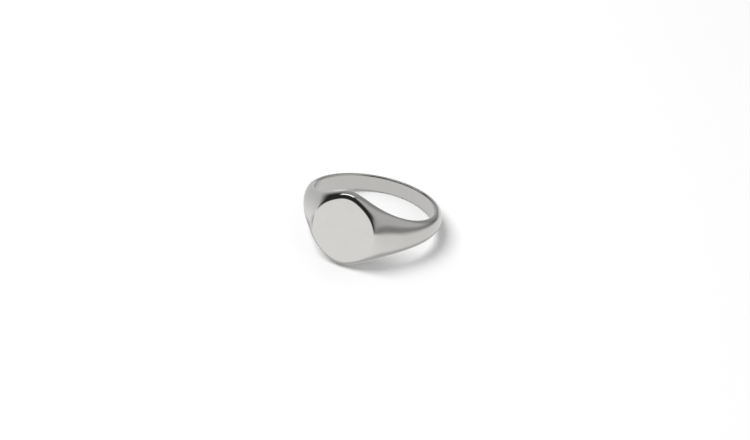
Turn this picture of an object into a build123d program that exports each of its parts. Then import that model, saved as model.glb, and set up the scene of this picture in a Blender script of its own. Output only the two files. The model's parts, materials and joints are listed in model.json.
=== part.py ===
from build123d import *
from math import atan2, cos, degrees, exp, pi, radians, sin, sqrt
import os

# A solid signet ring with a round flat table, lying on its side on a surface.
#
# Ring frame, used while modelling: Z is the finger axis, the table faces -Y, and an
# angle is measured round the finger from the middle of the table (0) to the back of
# the band (180). Every section in a half-plane through the finger axis is a crown,
# half an ellipse that stands on the bore. half_width() is its half width along the
# finger and crown_height() its height outwards. The table cuts the crown at the head.
# The finished ring is tilted to the pose in which it rests.

# Driving dimensions, in millimetres and degrees
BORE_RADIUS = 18.14 / 2       # ring size 57
TABLE_HEIGHT = 10.5           # finger axis to the flat table
RIM_ROUND = 0.25              # rounding between the bore and the sides of the band
RIM_ANGLE = 45.0              # slope, to the finger axis, at which the rim meets the bore

BAND_HALF_WIDTH = 1.20        # half the band's width at the back
HEAD_HALF_WIDTH = 5.70        # half the head's width at its crest
TAPER_ANGLE = 42.0            # angle over which the head's width tapers into the band
TAPER_POWER = 1.25
TAPER_EASE = 6.0              # angle over which the taper is flat at the middle of the head

BAND_CROWN = 1.0              # height of the band's crown over its rounded rims
HEAD_CROWN = 2.55             # the same at the head, before the table cuts it
SHOULDER_FALL = 31.5          # angle at which the crown is halfway between the two
SHOULDER_POWER = 6.0

SHOULDER_ANGLE = 36.0         # where each end of the shank meets the head
PLATE_THICKNESS = 0.8         # face plate that carries the table
SOLDER_THICKNESS = 0.1        # solder film in each joint

HEAD_SECTIONS = 17
SHANK_SECTIONS = 33
CROWN_POINTS = 7
BORE_STOCK = 0.5              # blank metal inside the bore, removed when it is bored
CUT = 60.0                    # size of the cutting blocks, larger than the ring


def half_width(angle):
    eased = sqrt(angle**2 + TAPER_EASE**2) - TAPER_EASE
    taper = exp(-((eased / TAPER_ANGLE) ** TAPER_POWER))
    return BAND_HALF_WIDTH + (HEAD_HALF_WIDTH - BAND_HALF_WIDTH) * taper


def shoulder(angle):
    """1 across the head, falling to 0 along the band."""
    return 1 / (1 + (angle / SHOULDER_FALL) ** SHOULDER_POWER)


def crown_height(angle):
    return BAND_CROWN + (HEAD_CROWN - BAND_CROWN) * shoulder(angle)


def radial_plane(angle):
    """Half-plane through the finger axis: its x runs outwards and its y along the finger."""
    turn = radians(angle)
    return Plane(origin=(0, 0, 0), x_dir=(sin(turn), -cos(turn), 0), z_dir=(-cos(turn), -sin(turn), 0))


def crown_points(angle):
    """Points (outwards, along the finger) from the upper side of the crown to its top."""
    foot = BORE_RADIUS + RIM_ROUND
    turns = [pi / 2 * i / (CROWN_POINTS - 1) for i in range(CROWN_POINTS)]
    return [(foot + crown_height(angle) * sin(t), half_width(angle) * cos(t)) for t in turns]


def bore_edge(angle):
    """Distance along the finger to the edge where the sloped rim meets the bore."""
    slope_start = RIM_ROUND * (1 - cos(radians(RIM_ANGLE)))
    return half_width(angle) - 2 * slope_start


def section(angle):
    """Closed outline of the blank at one angle, as a wire in its radial plane."""
    plane = radial_plane(angle)
    from_head = min(angle % 360, -angle % 360)
    foot = BORE_RADIUS + RIM_ROUND
    rim_centre = half_width(from_head) - RIM_ROUND
    rim_reach = RIM_ROUND * cos(radians(RIM_ANGLE))
    inner = BORE_RADIUS - BORE_STOCK
    inner_side = bore_edge(from_head) - BORE_STOCK

    def at(x, y):
        return plane.from_local_coords(Vector(x, y, 0))

    def rim_plane(y):
        return Plane(origin=at(foot, y), x_dir=plane.x_dir, z_dir=plane.z_dir)

    outwards = plane.x_dir
    along = plane.y_dir
    lower_crown = [at(x, -y) for x, y in crown_points(from_head)]
    upper_crown = [at(x, y) for x, y in reversed(crown_points(from_head))]
    lower_rim = at(foot - rim_reach, -rim_centre - rim_reach)
    upper_rim = at(foot - rim_reach, rim_centre + rim_reach)
    return Wire(
        [
            Edge.make_line(at(inner, -inner_side), lower_rim),
            Edge.make_circle(RIM_ROUND, rim_plane(-rim_centre), 180 + RIM_ANGLE, 270),
            Edge.make_spline(lower_crown, tangents=[outwards, along]),
            Edge.make_spline(upper_crown, tangents=[along, -outwards]),
            Edge.make_circle(RIM_ROUND, rim_plane(rim_centre), 90, 180 - RIM_ANGLE),
            Edge.make_line(upper_rim, at(inner, inner_side)),
            Edge.make_line(at(inner, inner_side), at(inner, -inner_side)),
        ]
    )


def swept_blank(start, end, count):
    """Blank between two angles, bored to finger size."""
    step = (end - start) / (count - 1)
    sections = [section(start + step * i) for i in range(count)]
    return Solid.make_loft(sections) - Cylinder(BORE_RADIUS, CUT)


def slab(near, far):
    """Block of space between two distances from the finger axis, on the table's side."""
    return Pos(0, -(near + far) / 2, 0) * Box(CUT, far - near, CUT)


def shoulder_gap(side):
    """Solder gap at one shoulder, on the head's side of the joint; side is 1 or -1."""
    in_gap = Pos(BORE_RADIUS, 0, side * SOLDER_THICKNESS / 2)
    joint = radial_plane(side * SHOULDER_ANGLE).location
    return joint * in_gap * Box(CUT / 4, CUT, SOLDER_THICKNESS)


def ring_parts():
    """Every piece of the ring in the ring frame, by name."""
    blank = swept_blank(-SHOULDER_ANGLE, SHOULDER_ANGLE, HEAD_SECTIONS)
    head = blank - slab(TABLE_HEIGHT, CUT)
    plate_back = TABLE_HEIGHT - PLATE_THICKNESS
    solder_back = plate_back - SOLDER_THICKNESS
    left = shoulder_gap(-1)
    right = shoulder_gap(1)
    return {
        "face_plate": head & slab(plate_back, CUT),
        "face_plate_solder": head & slab(solder_back, plate_back),
        "signet_head": head - slab(solder_back, CUT) - left - right,
        "left_shoulder_solder": head & left,
        "right_shoulder_solder": head & right,
        "shank": swept_blank(SHOULDER_ANGLE, 360 - SHOULDER_ANGLE, SHANK_SECTIONS),
    }


def rest_placement(parts):
    """Tilt the ring onto the head's crest and the back of the band, over the origin."""
    drop = half_width(0) - half_width(180)
    tilt = Rot(X=-degrees(atan2(drop, 2 * (BORE_RADIUS + RIM_ROUND))))
    box = Compound([tilt * part for part in parts.values()]).bounding_box()
    return Pos(-box.center().X, -box.center().Y, -box.min.Z) * tilt


os.makedirs("parts", exist_ok=True)
pieces = ring_parts()
placement = rest_placement(pieces)
for name, piece in pieces.items():
    export_step(placement * piece, f"parts/{name}.step")

bore_centre = (placement * Pos(0, 0, 0)).position
table_centre = (placement * Pos(0, -TABLE_HEIGHT, 0)).position
finger_axis = (placement * Pos(0, 0, 1)).position - bore_centre
print("bore centre", bore_centre, "finger axis", finger_axis)
print("table centre", table_centre, "bore length", 2 * bore_edge(0))
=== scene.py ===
import json
import math

import bmesh
import bpy
import numpy as np
from mathutils import Matrix, Vector


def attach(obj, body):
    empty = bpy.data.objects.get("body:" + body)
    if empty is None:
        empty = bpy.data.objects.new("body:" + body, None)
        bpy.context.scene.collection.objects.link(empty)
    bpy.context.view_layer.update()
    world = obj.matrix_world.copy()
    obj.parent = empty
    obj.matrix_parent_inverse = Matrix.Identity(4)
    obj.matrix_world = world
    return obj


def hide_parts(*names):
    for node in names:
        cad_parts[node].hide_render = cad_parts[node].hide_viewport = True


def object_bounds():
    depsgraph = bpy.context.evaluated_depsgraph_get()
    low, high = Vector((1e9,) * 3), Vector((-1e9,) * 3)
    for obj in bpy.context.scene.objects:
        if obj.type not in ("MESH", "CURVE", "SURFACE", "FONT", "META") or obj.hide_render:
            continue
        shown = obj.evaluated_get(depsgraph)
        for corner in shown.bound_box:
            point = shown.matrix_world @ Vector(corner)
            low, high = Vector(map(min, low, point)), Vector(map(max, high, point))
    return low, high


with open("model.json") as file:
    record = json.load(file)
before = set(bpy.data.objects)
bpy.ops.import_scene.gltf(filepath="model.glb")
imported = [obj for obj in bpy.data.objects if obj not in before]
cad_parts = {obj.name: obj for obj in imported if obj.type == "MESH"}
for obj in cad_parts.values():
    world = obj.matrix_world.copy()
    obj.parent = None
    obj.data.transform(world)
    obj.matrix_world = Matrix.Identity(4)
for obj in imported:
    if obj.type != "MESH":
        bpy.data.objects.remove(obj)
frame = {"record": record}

CAD_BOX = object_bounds()

# ---------------------------------------------------------------------------------------
# The ring frame: the finger axis is Z, the table faces -Y, and an angle is measured round
# the finger from the middle of the table. Lengths in it are in millimetres.
# ---------------------------------------------------------------------------------------
MM = 0.001
MOUNTS = {mount["name"]: mount for mount in frame["record"]["mounts"]}
BORE = MOUNTS["finger_bore"]
TABLE = MOUNTS["signet_table"]
BORE_CENTRE = Vector(BORE["pos_m"])
RING_Z = Vector(BORE["axis"]).normalized()
RING_Y = -Vector(TABLE["axis"]).normalized()
RING_X = RING_Y.cross(RING_Z)
RING_AXES = np.array([RING_X, RING_Y, RING_Z])
TABLE_HEIGHT = (Vector(TABLE["pos_m"]) - BORE_CENTRE).length / MM
BORE_RADIUS = BORE["dims"]["r_mm"]

# The shape laws are the same as the CAD model's.
RIM_ROUND = 0.25
FOOT = BORE_RADIUS + RIM_ROUND
BAND_HALF_WIDTH = 1.20
HEAD_HALF_WIDTH = 5.70
TAPER_ANGLE = 42.0
TAPER_POWER = 1.25
TAPER_EASE = 6.0
BAND_CROWN = 1.0
HEAD_CROWN = 2.55
SHOULDER_FALL = 31.5
SHOULDER_POWER = 6.0
SHOULDER_ANGLE = 36.0
PLATE_THICKNESS = 0.8
SOLDER_THICKNESS = 0.1
PLATE_BACK = TABLE_HEIGHT - PLATE_THICKNESS
SOLDER_BACK = PLATE_BACK - SOLDER_THICKNESS
HEAD_ANGLE = SHOULDER_ANGLE - math.degrees(SOLDER_THICKNESS / (BORE_RADIUS + BAND_CROWN))

# Rounding of the table's edge, which the CAD model leaves sharp
EDGE_ROUND = 0.6

# Mesh density: rows, columns, and the table's rings as shares of its radius
BORE_ROWS = 8
RIM_ROWS = 6
CROWN_ROWS = 28
HEAD_COLUMNS = 96
SHOULDER_COLUMNS = 12
SHANK_COLUMNS = 288
PLATE_COLUMNS = 240
WALL_ROWS = 14
EDGE_ROWS = 10
SOLDER_ROWS = 3
TABLE_RINGS = (0.25, 0.5, 0.75, 0.95)

# Smallest step of an angle that counts
TOLERANCE = 0.000001


def half_width(angle):
    eased = np.sqrt(angle**2 + TAPER_EASE**2) - TAPER_EASE
    taper = np.exp(-((eased / TAPER_ANGLE) ** TAPER_POWER))
    return BAND_HALF_WIDTH + (HEAD_HALF_WIDTH - BAND_HALF_WIDTH) * taper


def shoulder(angle):
    """1 across the head, falling to 0 along the band."""
    return 1 / (1 + (np.abs(angle) / SHOULDER_FALL) ** SHOULDER_POWER)


def crown_height(angle):
    return BAND_CROWN + (HEAD_CROWN - BAND_CROWN) * shoulder(angle)


def from_polar(angle, out, along):
    """Ring-frame points from angle round the finger, distance outwards and along the finger."""
    turn = np.radians(angle)
    return np.stack(np.broadcast_arrays(out * np.sin(turn), -out * np.cos(turn), along), axis=-1)


def crown_level(points):
    """Below 0 inside the crown and above 0 outside it."""
    x, y, z = np.moveaxis(points, -1, 0)
    angle = np.abs(np.degrees(np.arctan2(x, -y)))
    rise = (np.hypot(x, y) - FOOT) / crown_height(angle)
    return rise**2 + (z / half_width(angle)) ** 2 - 1


def rim_level(points):
    """The same for the rounded rims."""
    x, y, z = np.moveaxis(points, -1, 0)
    angle = np.abs(np.degrees(np.arctan2(x, -y)))
    centre = half_width(angle) - RIM_ROUND
    return (np.hypot(x, y) - FOOT) ** 2 + (np.abs(z) - centre) ** 2 - RIM_ROUND**2


def slope(level, points, step=0.0001):
    """Unit normals of a level surface at some points."""
    sides = [level(points + step * axis) - level(points - step * axis) for axis in np.eye(3)]
    normals = np.stack(sides, axis=-1)
    return normals / np.linalg.norm(normals, axis=-1, keepdims=True)


def solve(function, low, high, rounds=50):
    """Where a rising function crosses 0 between two arrays, by halving."""
    for _ in range(rounds):
        middle = (low + high) / 2
        below = function(middle) < 0
        low = np.where(below, middle, low)
        high = np.where(below, high, middle)
    return (low + high) / 2


# ---------------------------------------------------------------------------------------
# Meshes. Every piece is a closed solid. Smooth faces take their normals from the shape
# laws, so that reflections run over the joints without a break.
# ---------------------------------------------------------------------------------------
class Shell:
    """Vertices with their normals, and smooth and flat faces."""

    def __init__(self):
        self.points = []
        self.normals = []
        self.smooth = []
        self.flat = []

    def add(self, points, normals):
        """Adds a row of points and returns their indices."""
        first = len(self.points)
        self.points.extend(points)
        self.normals.extend(normals)
        return list(range(first, first + len(points)))

    def strip(self, row_a, row_b, closed=True, flat=False):
        """Faces between two rows of indices, without repeated corners."""
        faces = self.flat if flat else self.smooth
        count = len(row_a)
        for i in range(count if closed else count - 1):
            j = (i + 1) % count
            corners = list(dict.fromkeys((row_a[i], row_a[j], row_b[j], row_b[i])))
            if len(corners) > 2:
                faces.append(corners)

    def cap(self, row):
        """One flat face over a closed row of indices."""
        self.flat.append(list(dict.fromkeys(row)))

    def build(self, name):
        """The Blender object, in metres in the part's frame."""
        points = np.array(self.points) * MM @ RING_AXES + np.array(BORE_CENTRE)
        normals = np.array(self.normals) @ RING_AXES
        mesh = bpy.data.meshes.new(name)
        mesh.from_pydata(points.tolist(), [], self.smooth + self.flat)
        outwards = bmesh.new()
        outwards.from_mesh(mesh)
        bmesh.ops.recalc_face_normals(outwards, faces=outwards.faces)
        outwards.to_mesh(mesh)
        outwards.free()
        corner_normals = [None] * len(mesh.loops)
        for polygon in mesh.polygons:
            is_flat = polygon.index >= len(self.smooth)
            polygon.use_smooth = not is_flat
            face_normal = polygon.normal.copy()
            for loop in polygon.loop_indices:
                vertex = mesh.loops[loop].vertex_index
                corner_normals[loop] = face_normal if is_flat else Vector(normals[vertex])
        mesh.normals_split_custom_set(corner_normals)
        piece = bpy.data.objects.new(name, mesh)
        bpy.context.scene.collection.objects.link(piece)
        return piece


def section_rows(angle, top_turn):
    """Upper half of a section, from the middle of the bore to the crown's top turn."""
    edge = half_width(angle) - RIM_ROUND
    bore_z = np.linspace(0, edge, BORE_ROWS + 1)
    bore = from_polar(angle, BORE_RADIUS, bore_z)
    inward = -from_polar(angle, 1.0, np.zeros_like(bore_z))
    rim_turn = np.linspace(0, math.pi / 2, RIM_ROWS + 1)[1:]
    rim = from_polar(angle, FOOT - RIM_ROUND * np.cos(rim_turn), edge + RIM_ROUND * np.sin(rim_turn))
    turn = np.linspace(0, top_turn, CROWN_ROWS + 1)[1:]
    out = FOOT + crown_height(angle) * np.sin(turn)
    crown = from_polar(angle, out, half_width(angle) * np.cos(turn))
    points = np.concatenate([bore, rim, crown])
    normals = np.concatenate([inward, slope(rim_level, rim), slope(crown_level, crown)])
    return points, normals


def add_section(shell, angle, top_turn):
    """One closed section. A whole crown has its top point twice, a cut one has a chord there."""
    points, normals = section_rows(angle, top_turn)
    upper = shell.add(points, normals)
    flip = np.array([1, 1, -1])
    is_cut = top_turn < math.pi / 2 - TOLERANCE
    last = None if is_cut else -1
    lower = shell.add((points * flip)[1:last], (normals * flip)[1:last])
    top = [] if is_cut else [upper[-1]]
    return upper + top + lower[::-1]


def add_tube(shell, angles, top_turns):
    """Closed tube of sections. The faces over their chords are the flat cut under the plate."""
    rows = [add_section(shell, a, t) for a, t in zip(angles, top_turns)]
    top = BORE_ROWS + RIM_ROWS + CROWN_ROWS
    for row_a, row_b in zip(rows, rows[1:]):
        around = list(range(top + 1, len(row_a))) + list(range(top + 1))
        shell.strip([row_a[i] for i in around], [row_b[i] for i in around], closed=False)
        shell.strip(row_a[top : top + 2], row_b[top : top + 2], closed=False, flat=True)
    shell.cap(rows[0])
    shell.cap(rows[-1][::-1])


def shank():
    """Band with both shoulders, from one side of the head round to the other."""
    shell = Shell()
    angles = np.linspace(SHOULDER_ANGLE, 360 - SHOULDER_ANGLE, SHANK_COLUMNS + 1)
    angles = np.where(angles > 180, angles - 360, angles)
    add_tube(shell, angles, [math.pi / 2] * len(angles))
    return shell.build("shank_visual")


def shoulder_solder(side, name):
    """Solder film at one end of the head; side is 1 or -1."""
    shell = Shell()
    angles = np.linspace(HEAD_ANGLE, SHOULDER_ANGLE, SOLDER_ROWS) * side
    add_tube(shell, angles[::side], [math.pi / 2] * len(angles))
    return shell.build(name)


def signet_head():
    """Head block, cut flat where the plate's solder lies on it."""
    shell = Shell()

    def below_cut(angle):
        return SOLDER_BACK - (FOOT + crown_height(angle)) * np.cos(np.radians(angle))

    corner = float(solve(below_cut, np.array(HEAD_ANGLE / 2), np.array(HEAD_ANGLE)))
    spread = np.sin(np.linspace(-math.pi / 2, math.pi / 2, HEAD_COLUMNS + 1))
    inner = np.degrees(np.arctan(math.tan(math.radians(corner)) * spread))
    outer = np.linspace(corner, HEAD_ANGLE, SHOULDER_COLUMNS + 1)[1:]
    angles = np.concatenate([-outer[::-1], inner, outer])
    rise = (SOLDER_BACK / np.cos(np.radians(angles)) - FOOT) / crown_height(angles)
    turns = np.arcsin(np.clip(rise, 0, 1))
    turns[np.abs(angles) > corner - TOLERANCE] = math.pi / 2
    add_tube(shell, angles, turns)
    return shell.build("signet_head_visual")


def outline(height):
    """Distance of the crown from the table's axis all round, at one height."""
    turn = np.linspace(0, 2 * math.pi, PLATE_COLUMNS, endpoint=False)
    direction = np.stack([np.cos(turn), np.zeros_like(turn), np.sin(turn)], axis=-1)
    foot = np.array([0, -height, 0])

    def depth(radius):
        return crown_level(foot + radius[:, None] * direction)

    radius = solve(depth, np.zeros_like(turn), np.full_like(turn, HEAD_HALF_WIDTH * 1.5))
    return radius, direction, foot


def wall_row(shell, height):
    """Adds the crown's outline at one height."""
    radius, direction, foot = outline(height)
    points = foot + radius[:, None] * direction
    return shell.add(points, slope(crown_level, points))


def face_plate():
    """Plate with the flat table, its rounded edge, and the crown's wall."""
    shell = Shell()
    facing = np.array([0.0, -1.0, 0.0])
    radius, direction, foot = outline(TABLE_HEIGHT)
    edge = foot + radius[:, None] * direction
    wall_normal = slope(crown_level, edge)
    opening = np.arccos(wall_normal @ facing)[:, None]
    setback = EDGE_ROUND * np.tan(opening / 2)
    table_end = edge - setback * direction
    centre = table_end - EDGE_ROUND * facing
    rings = [shell.add(foot[None, :], facing[None, :]) * PLATE_COLUMNS]
    for part in TABLE_RINGS:
        rings.append(shell.add(foot + part * (table_end - foot), np.tile(facing, (PLATE_COLUMNS, 1))))
    for i in range(EDGE_ROWS + 1):
        share = i / EDGE_ROWS
        normal = facing * np.sin(opening * (1 - share)) + wall_normal * np.sin(opening * share)
        normal = normal / np.sin(opening)
        rings.append(shell.add(centre + EDGE_ROUND * normal, normal))
    for height in np.linspace(TABLE_HEIGHT - EDGE_ROUND, PLATE_BACK, WALL_ROWS):
        rings.append(wall_row(shell, height))
    for row_a, row_b in zip(rings, rings[1:]):
        shell.strip(row_b, row_a)
    shell.cap(rings[-1])
    return shell.build("face_plate_visual")


def plate_solder():
    """Solder film between the plate and the head block."""
    shell = Shell()
    heights = np.linspace(PLATE_BACK, SOLDER_BACK, SOLDER_ROWS)
    rings = [wall_row(shell, height) for height in heights]
    for row_a, row_b in zip(rings, rings[1:]):
        shell.strip(row_b, row_a)
    shell.cap(rings[0][::-1])
    shell.cap(rings[-1])
    return shell.build("face_plate_solder_visual")


# ---------------------------------------------------------------------------------------
# Materials
# ---------------------------------------------------------------------------------------
def new_material(name):
    material = bpy.data.materials.new(name)
    material.use_nodes = True
    nodes = material.node_tree.nodes
    nodes.clear()
    output = nodes.new("ShaderNodeOutputMaterial")
    shader = nodes.new("ShaderNodeBsdfPrincipled")
    material.node_tree.links.new(shader.outputs["BSDF"], output.inputs["Surface"])
    return material, nodes, material.node_tree.links, shader


def noise(nodes, links, vector, scale, detail):
    texture = nodes.new("ShaderNodeTexNoise")
    texture.inputs["Scale"].default_value = scale
    texture.inputs["Detail"].default_value = detail
    links.new(vector, texture.inputs["Vector"])
    return texture.outputs["Fac"]


def remap(nodes, links, value, low, high, to_low, to_high):
    node = nodes.new("ShaderNodeMapRange")
    node.inputs["From Min"].default_value = low
    node.inputs["From Max"].default_value = high
    node.inputs["To Min"].default_value = to_low
    node.inputs["To Max"].default_value = to_high
    links.new(value, node.inputs["Value"])
    return node.outputs["Result"]


def stretched(nodes, links, vector, turn, stretch):
    mapping = nodes.new("ShaderNodeMapping")
    mapping.inputs["Rotation"].default_value = turn
    mapping.inputs["Scale"].default_value = stretch
    links.new(vector, mapping.inputs["Vector"])
    return mapping.outputs["Vector"]


def silver(name, tone, roughness):
    """Polished silver: fine buffing scratches that cross each other, and a slight haze."""
    material, nodes, links, shader = new_material(name)
    shader.inputs["Metallic"].default_value = 1.0
    coordinates = nodes.new("ShaderNodeTexCoord").outputs["Object"]

    cloud = noise(nodes, links, coordinates, 420.0, 5.0)
    colour = nodes.new("ShaderNodeMix")
    colour.data_type = "RGBA"
    colour.inputs["A"].default_value = (*[c * 0.965 for c in tone], 1.0)
    colour.inputs["B"].default_value = (*[c * 1.025 for c in tone], 1.0)
    links.new(cloud, colour.inputs["Factor"])
    links.new(colour.outputs["Result"], shader.inputs["Base Color"])

    scratches = nodes.new("ShaderNodeMath")
    scratches.operation = "MULTIPLY"
    for slot, turn, scale in ((0, (0.3, 0.2, 0.5), 14000.0), (1, (1.2, 0.7, 2.1), 11000.0)):
        along = stretched(nodes, links, coordinates, turn, (0.03, 1.0, 1.0))
        links.new(noise(nodes, links, along, scale, 3.0), scratches.inputs[slot])
    fine = scratches.outputs["Value"]

    haze = noise(nodes, links, coordinates, 900.0, 4.0)
    worn = nodes.new("ShaderNodeMath")
    worn.operation = "MULTIPLY"
    links.new(remap(nodes, links, haze, 0.3, 0.7, roughness * 0.8, roughness * 1.3), worn.inputs[0])
    links.new(remap(nodes, links, fine, 0.15, 0.4, 0.85, 1.35), worn.inputs[1])
    links.new(worn.outputs["Value"], shader.inputs["Roughness"])

    bump = nodes.new("ShaderNodeBump")
    bump.inputs["Strength"].default_value = 0.06
    bump.inputs["Distance"].default_value = 0.00001
    links.new(fine, bump.inputs["Height"])
    links.new(bump.outputs["Normal"], shader.inputs["Normal"])
    return material


def matte(name, colour):
    material, _, _, shader = new_material(name)
    shader.inputs["Base Color"].default_value = (*colour, 1.0)
    shader.inputs["Roughness"].default_value = 0.9
    shader.inputs["Specular IOR Level"].default_value = 0.0
    return material


def glow(name):
    """Emission with the strength stored in the mesh."""
    material = bpy.data.materials.new(name)
    material.use_nodes = True
    nodes = material.node_tree.nodes
    nodes.clear()
    output = nodes.new("ShaderNodeOutputMaterial")
    emission = nodes.new("ShaderNodeEmission")
    emission.inputs["Color"].default_value = (1.0, 1.0, 1.0, 1.0)
    level = nodes.new("ShaderNodeAttribute")
    level.attribute_name = "level"
    material.node_tree.links.new(level.outputs["Fac"], emission.inputs["Strength"])
    material.node_tree.links.new(emission.outputs["Emission"], output.inputs["Surface"])
    return material


# ---------------------------------------------------------------------------------------
# Studio
# ---------------------------------------------------------------------------------------
LOW, HIGH = CAD_BOX
MIDDLE = (LOW + HIGH) / 2
FLOOR_SIZE = 3.0
FLOOR_COLOUR = (0.92, 0.92, 0.92)
DAYLIGHT = (0.58, 0.58, 0.58, 1.0)

# The room that the silver reflects: its size in metres, its mesh and its brightness
ROOM_RADIUS = 0.5
ROOM_GAP = 0.0001
ROOM_STEP = 2.0
ROOM_FLOOR_ROWS = 80
ROOM_WALL_ROWS = 60
WALL_LEVEL = 0.42
DARK_LEVEL = 0.03
FLOOR_LEVEL = 0.88
# Painted shade: the reflected floor inside and under the ring is dimmer than the open floor
SHADED_FLOOR_LEVEL = 0.80
STRIP_LEVEL = 2.5
STRIP_AZIMUTH = -104.0
STRIP_HALF_WIDTH = 4.5


def direction(azimuth, elevation):
    """Unit vector; azimuth 0 is towards -Y, where the table faces, and 90 towards +X."""
    a = math.radians(azimuth)
    e = math.radians(elevation)
    return Vector((math.sin(a) * math.cos(e), -math.cos(a) * math.cos(e), math.sin(e)))


def facing_ring(obj, azimuth, elevation, distance):
    away = direction(azimuth, elevation)
    obj.location = MIDDLE + away * distance
    obj.rotation_euler = away.to_track_quat("Z", "Y").to_euler()


def quad(name, width, height):
    mesh = bpy.data.meshes.new(name)
    w, h = width / 2, height / 2
    mesh.from_pydata([(-w, -h, 0), (w, -h, 0), (w, h, 0), (-w, h, 0)], [], [(0, 1, 2, 3)])
    obj = bpy.data.objects.new(name, mesh)
    bpy.context.scene.collection.objects.link(obj)
    return obj


def softbox(name, azimuth, elevation, size, power, distance):
    """A square light for the floor. The silver sees the room instead."""
    data = bpy.data.lights.new(name, "AREA")
    data.shape = "SQUARE"
    data.size = size
    data.energy = power
    light = bpy.data.objects.new(name, data)
    facing_ring(light, azimuth, elevation, distance)
    light.visible_glossy = False
    bpy.context.scene.collection.objects.link(light)


def ramp(value, start, end):
    """0 before start and 1 after end, smooth between them."""
    share = np.clip((value - start) / (end - start), 0, 1)
    return share**2 * (3 - 2 * share)


def between(value, start, end, edge):
    return ramp(value, start - edge, start + edge) - ramp(value, end - edge, end + edge)


def room_level(azimuth, elevation):
    """Brightness of the walls, the dark side in front, the floor and a strip light."""
    in_front = between(azimuth, -75, 65, 20)
    on_left = between(azimuth, -150, -85, 15)
    on_right = between(azimuth, 62, 165, 14)

    walls = WALL_LEVEL + 0.20 * between(azimuth, 70, 138, 22) - 0.08 * between(azimuth, 145, 170, 10)
    walls *= 1 - (0.2 + 0.28 * on_right) * (1 - ramp(elevation, 0, 14))

    floor = FLOOR_LEVEL + 0.18 * between(azimuth, -80, 50, 30) - 0.20 * between(azimuth, -155, -80, 25)
    floor_end = -5 + 4 * on_left - 8 * on_right
    wall_start = -1 + 14 * on_left - 2 * on_right
    walls += (floor - walls) * (1 - ramp(elevation, floor_end, wall_start))

    dark = between(azimuth, -124, 50 + 14 * ramp(elevation, 15, 45), 14)
    dark *= ramp(elevation, 5 - 6 * in_front, 22 - 16 * in_front)

    from_strip = np.radians(azimuth - STRIP_AZIMUTH)
    sideways = np.degrees(np.arcsin(np.sin(from_strip) * np.cos(np.radians(elevation))))
    strip = between(sideways, -STRIP_HALF_WIDTH, STRIP_HALF_WIDTH, 1.5) * between(elevation, 40, 84, 3)
    strip *= np.abs(azimuth - STRIP_AZIMUTH) < 90
    return walls * (1 - dark) + DARK_LEVEL * dark + STRIP_LEVEL * strip


def room_floor_level(azimuth, reach):
    """The same for a point of the floor, with painted shade inside and under the ring and a painted
    dark patch to its front left.
    """
    elevation = -math.degrees(math.atan(MIDDLE.z / reach))
    # Painted shade: a dark patch of the reflected floor to the front left, which the silver shows as a
    # dark reflection
    shade = 0.55 * between(reach, 0.014, 0.032, 0.006) * between(azimuth, -68, -50, 9)
    open_level = room_level(azimuth, elevation) * (1 - shade)
    # Painted shade: dimmer inside the ring and darkest under its band
    shaded_floor_level = SHADED_FLOOR_LEVEL - 0.30 * ramp(reach, 0.0085, 0.0105)
    return shaded_floor_level + (open_level - shaded_floor_level) * ramp(reach, 0.0105, 0.0125)


def room():
    """The room and the floor round the ring, which only reflections see."""
    azimuths = np.arange(-180, 180, ROOM_STEP)
    foot = Vector((MIDDLE.x, MIDDLE.y, ROOM_GAP))
    points = []
    levels = []
    for reach in np.geomspace(0.00001, ROOM_RADIUS, ROOM_FLOOR_ROWS):
        for azimuth in azimuths:
            points.append(foot + direction(azimuth, 0) * reach)
            levels.append(room_floor_level(azimuth, reach))
    for elevation in np.linspace(1, 89.9, ROOM_WALL_ROWS):
        for azimuth in azimuths:
            points.append(foot + direction(azimuth, elevation) * ROOM_RADIUS)
            levels.append(room_level(azimuth, elevation))
    count = len(azimuths)
    faces = []
    for start in range(0, len(points) - count, count):
        for i in range(count):
            j = (i + 1) % count
            faces.append((start + i, start + j, start + count + j, start + count + i))
    mesh = bpy.data.meshes.new("room")
    mesh.from_pydata(points, [], faces)
    mesh.attributes.new("level", "FLOAT", "POINT").data.foreach_set("value", levels)
    mesh.materials.append(glow("room_glow"))
    obj = bpy.data.objects.new("room", mesh)
    bpy.context.scene.collection.objects.link(obj)
    obj.visible_camera = False
    obj.visible_diffuse = False
    obj.visible_shadow = False
    obj.visible_transmission = False


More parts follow.
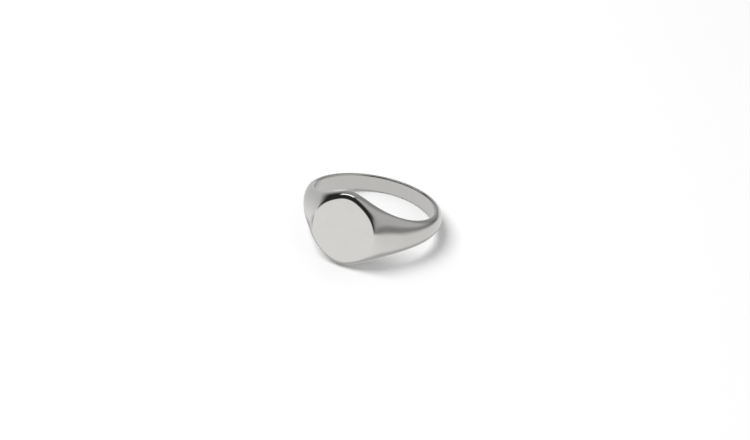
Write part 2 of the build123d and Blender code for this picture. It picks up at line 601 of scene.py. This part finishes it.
def studio():
    """White floor, grey daylight, one soft light and the room."""
    floor = quad("floor", FLOOR_SIZE, FLOOR_SIZE)
    floor.data.materials.append(matte("white_floor", FLOOR_COLOUR))
    world = bpy.data.worlds.new("studio")
    world.use_nodes = True
    background = world.node_tree.nodes["Background"]
    background.inputs["Color"].default_value = DAYLIGHT
    background.inputs["Strength"].default_value = 1.0
    bpy.context.scene.world = world
    softbox("key", azimuth=-60, elevation=63, size=0.34, power=2.5, distance=0.6)
    room()


# ---------------------------------------------------------------------------------------
# Camera
# ---------------------------------------------------------------------------------------
CAMERA_AZIMUTH = 23.4
CAMERA_ELEVATION = 36.4
CAMERA_ROLL = 4.6
CAMERA_DISTANCE = 0.45
AIM_RIGHT = 0.00029
AIM_UP = -0.00178
LENS = 146.3


def camera():
    """Camera that looks at the ring, aimed a little off the bore's centre."""
    data = bpy.data.cameras.new("camera")
    data.lens = LENS
    data.sensor_width = 36.0
    data.clip_start = 0.01
    data.clip_end = 10.0
    cam = bpy.data.objects.new("camera", data)
    back = direction(CAMERA_AZIMUTH, CAMERA_ELEVATION)
    level = back.to_track_quat("Z", "Y").to_matrix()
    turned = level @ Matrix.Rotation(math.radians(CAMERA_ROLL), 3, "Z")
    aim = BORE_CENTRE + turned @ Vector((AIM_RIGHT, AIM_UP, 0))
    cam.matrix_world = Matrix.Translation(aim + back * CAMERA_DISTANCE) @ turned.to_4x4()
    bpy.context.scene.collection.objects.link(cam)
    bpy.context.scene.camera = cam


# ---------------------------------------------------------------------------------------
# Assembly
# ---------------------------------------------------------------------------------------
silver_material = silver("polished_silver", (0.615, 0.608, 0.592), 0.10)
solder_material = silver("polished_solder", (0.61, 0.603, 0.585), 0.10)
left_solder = shoulder_solder(-1, "left_shoulder_solder_visual")
right_solder = shoulder_solder(1, "right_shoulder_solder_visual")
ring = (
    (shank(), "shank", "silver", silver_material),
    (signet_head(), "signet_head", "silver", silver_material),
    (face_plate(), "face_plate", "silver", silver_material),
    (plate_solder(), "face_plate_solder", "silver_solder", solder_material),
    (left_solder, "left_shoulder_solder", "silver_solder", solder_material),
    (right_solder, "right_shoulder_solder", "silver_solder", solder_material),
)
for piece, node, slot, material in ring:
    piece.data.materials.append(material)
    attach(piece, "root")
    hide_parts(node)

studio()
camera()
bpy.context.scene.view_settings.view_transform = "Standard"
